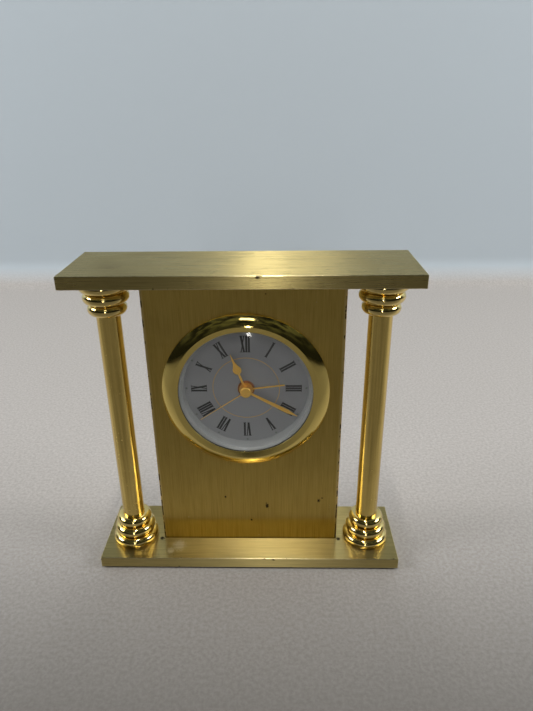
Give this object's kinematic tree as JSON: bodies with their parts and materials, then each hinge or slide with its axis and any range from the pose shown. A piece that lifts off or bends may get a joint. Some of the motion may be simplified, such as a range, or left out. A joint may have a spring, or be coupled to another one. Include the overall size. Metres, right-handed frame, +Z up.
{
  "type": "desk clock",
  "caption": "Brass column desk clock: brushed plates, ringed columns, folded panel and a round quartz alarm insert with a geared movement.",
  "frame": {"origin": "centre of the felt's underside, on the surface where the clock rests", "axes": "+Z up, +X to the right seen from the front, +Y from the dial towards the back"},
  "size_m": [0.1396, 0.0382, 0.1428],
  "materials": {
    "brushed_brass": "satin brushed, lacquered",
    "panel_brass": "fine upright brushing, lacquered",
    "polished_brass": "polished and lacquered",
    "bezel_gold": "bright plated",
    "hand_gold": "bright gilt",
    "zinc_steel": "zinc plated",
    "crystal_glass": "clear polished",
    "black_rubber": "matt",
    "white_plastic": "satin",
    "dial_silver": "silvered satin lacquer",
    "black_plastic": "fine textured",
    "wheel_plastic": "moulded, unpainted",
    "green_felt": "felt",
    "board_green": "solder-masked laminate",
    "soft_iron": "bare rolled",
    "magnet": "sintered",
    "copper_wire": "enamelled winding",
    "cell_jacket": "plain printed jacket without lettering"
  },
  "bodies": {
    "case": {"base_plate": "brushed_brass", "battery_cell": "cell_jacket", "bezel": "bezel_gold", "centre_bush": "polished_brass", "centre_nut": "polished_brass", "circuit_board": "board_green", "coil_bobbin": "wheel_plastic", "coil_winding": "copper_wire", "crystal": "crystal_glass", "crystal_gasket": "black_rubber", "dial": "dial_silver", "dial_ring": "white_plastic", "felt_pad": "green_felt", "front_train_plate": "white_plastic", "grip_band": "black_rubber", "insert_housing": "black_plastic", "left_capital": "polished_brass", "left_column_base": "polished_brass", "left_column_tube": "polished_brass", "main_plate": "white_plastic", "negative_spring": "zinc_steel", "panel_screws": "zinc_steel", "panel_shell": "panel_brass", "panel_stud_nuts": "zinc_steel", "panel_studs": "zinc_steel", "piezo_buzzer": "polished_brass", "positive_contact": "zinc_steel", "quartz_crystal": "zinc_steel", "rear_cover": "black_plastic", "rear_cover_screws": "zinc_steel", "rear_train_plate": "white_plastic", "right_capital": "polished_brass", "right_column_base": "polished_brass", "right_column_tube": "polished_brass", "stator": "soft_iron", "tie_rod_nuts": "zinc_steel", "tie_rod_washers": "zinc_steel", "tie_rods": "zinc_steel", "top_plate": "brushed_brass", "train_pillars": "polished_brass"},
    "seconds": {"second_wheel": "wheel_plastic", "second_hand": "hand_gold"},
    "step_wheel": {"intermediate_wheel": "wheel_plastic"},
    "step_rotor": {"rotor": "magnet"},
    "third": {"third_wheel": "wheel_plastic"},
    "centre": {"centre_wheel": "polished_brass"},
    "minutes": {"cannon_pinion": "polished_brass", "minute_hand": "hand_gold"},
    "time_setting": {"minute_wheel": "wheel_plastic", "time_knob": "black_plastic"},
    "hours": {"hour_wheel": "wheel_plastic", "hour_hand": "hand_gold"},
    "alarm_setting": {"alarm_arbor": "wheel_plastic", "alarm_knob": "black_plastic"},
    "alarm_display": {"alarm_wheel": "wheel_plastic", "alarm_hand": "hand_gold"},
    "switch": {"alarm_switch": "white_plastic"},
    "door": {"battery_door": "black_plastic"}
  },
  "joints": [
    {"name": "seconds_spin", "type": "hinge", "parent": "case", "child": "seconds", "pos_m": [0, 0, 0.0869], "axis": [0, 1, 0], "continuous": true},
    {"name": "step_wheel_spin", "type": "hinge", "parent": "case", "child": "step_wheel", "pos_m": [0.00641, 0, 0.0832], "axis": [0, 1, 0], "continuous": true},
    {"name": "step_rotor_spin", "type": "hinge", "parent": "case", "child": "step_rotor", "pos_m": [0.01167, 0, 0.08128], "axis": [0, 1, 0], "continuous": true},
    {"name": "third_spin", "type": "hinge", "parent": "case", "child": "third", "pos_m": [0, 0, 0.0941], "axis": [0, 1, 0], "continuous": true},
    {"name": "centre_spin", "type": "hinge", "parent": "case", "child": "centre", "pos_m": [0, 0, 0.0869], "axis": [0, 1, 0], "continuous": true},
    {"name": "minutes_spin", "type": "hinge", "parent": "case", "child": "minutes", "pos_m": [0, 0, 0.0869], "axis": [0, 1, 0], "continuous": true},
    {"name": "time_setting_spin", "type": "hinge", "parent": "case", "child": "time_setting", "pos_m": [-0.00727, 0, 0.0911], "axis": [0, 1, 0], "continuous": true},
    {"name": "hours_spin", "type": "hinge", "parent": "case", "child": "hours", "pos_m": [0, 0, 0.0869], "axis": [0, 1, 0], "continuous": true},
    {"name": "alarm_setting_spin", "type": "hinge", "parent": "case", "child": "alarm_setting", "pos_m": [0.00779, 0, 0.0914], "axis": [0, 1, 0], "continuous": true},
    {"name": "alarm_display_spin", "type": "hinge", "parent": "case", "child": "alarm_display", "pos_m": [0, 0, 0.0869], "axis": [0, 1, 0], "continuous": true},
    {"name": "switch_slide", "type": "slide", "parent": "case", "child": "switch", "axis": [0, 0, 1], "range_m": [0, 0.003]},
    {"name": "door_slide", "type": "slide", "parent": "case", "child": "door", "axis": [0, 0, -1], "range_m": [0, 0.014]}
  ],
  "couplings": [
    {"joint": "step_wheel_spin", "follows": "seconds_spin", "ratio": -5},
    {"joint": "step_rotor_spin", "follows": "seconds_spin", "ratio": 30},
    {"joint": "third_spin", "follows": "seconds_spin", "ratio": -0.13333},
    {"joint": "centre_spin", "follows": "seconds_spin", "ratio": 0.016667},
    {"joint": "time_setting_spin", "follows": "minutes_spin", "ratio": -0.33333},
    {"joint": "hours_spin", "follows": "minutes_spin", "ratio": 0.083333},
    {"joint": "alarm_display_spin", "follows": "alarm_setting_spin", "ratio": -0.25}
  ]
}
